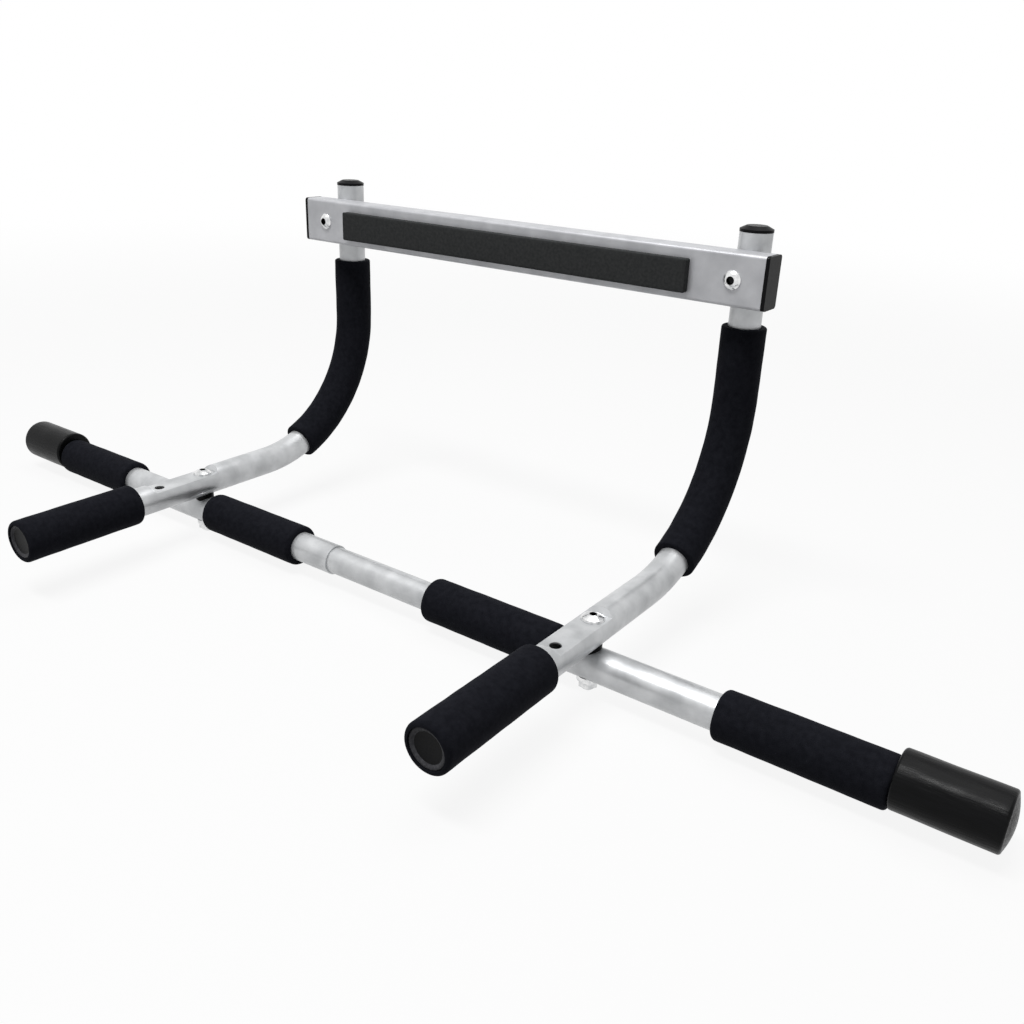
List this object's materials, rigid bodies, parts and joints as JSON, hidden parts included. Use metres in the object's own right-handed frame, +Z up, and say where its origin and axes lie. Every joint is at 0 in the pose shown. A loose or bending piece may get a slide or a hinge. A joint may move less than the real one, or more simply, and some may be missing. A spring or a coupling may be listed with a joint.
{
  "type": "pull up bar",
  "caption": "Doorway pull up bar: a foam-gripped crossbar with rubber ends, bent arm tubes with forward handles, and a padded top rail that hooks over the door trim.",
  "frame": {"origin": "middle of the top rail's underside, the face that rests on the door trim", "axes": "+X along the crossbar and the rail, -Y towards the user and the handle ends, +Z up"},
  "size_m": [0.97, 0.3954, 0.3025],
  "materials": {
    "silver_tube": "satin silver powder coat on steel tube",
    "silver_rail": "satin silver powder coat on steel rail",
    "zinc_steel": "bright zinc plate",
    "grip_foam": "matte closed-cell foam",
    "end_rubber": "semi-gloss moulded rubber",
    "pad_rubber": "matte rubber strip",
    "black_plastic": "satin moulded plastic"
  },
  "bodies": {
    "root": {"left_side_tube": "silver_tube", "right_side_tube": "silver_tube", "centre_tube": "silver_tube", "left_end_sleeve": "end_rubber", "right_end_sleeve": "end_rubber", "left_outer_grip": "grip_foam", "right_outer_grip": "grip_foam", "left_inner_grip": "grip_foam", "right_inner_grip": "grip_foam", "left_arm_tube": "silver_tube", "right_arm_tube": "silver_tube", "left_arm_grip": "grip_foam", "right_arm_grip": "grip_foam", "left_handle_grip": "grip_foam", "right_handle_grip": "grip_foam", "left_handle_plug": "black_plastic", "right_handle_plug": "black_plastic", "left_arm_cap": "black_plastic", "right_arm_cap": "black_plastic", "left_cross_saddle": "black_plastic", "right_cross_saddle": "black_plastic", "top_rail": "silver_rail", "wall_pad": "pad_rubber", "left_rail_cap": "black_plastic", "right_rail_cap": "black_plastic", "crossing_bolts": "zinc_steel", "crossing_washers": "zinc_steel", "crossing_nuts": "zinc_steel", "rail_bolts": "zinc_steel", "rail_washers": "zinc_steel", "rail_nuts": "zinc_steel"}
  },
  "joints": []
}
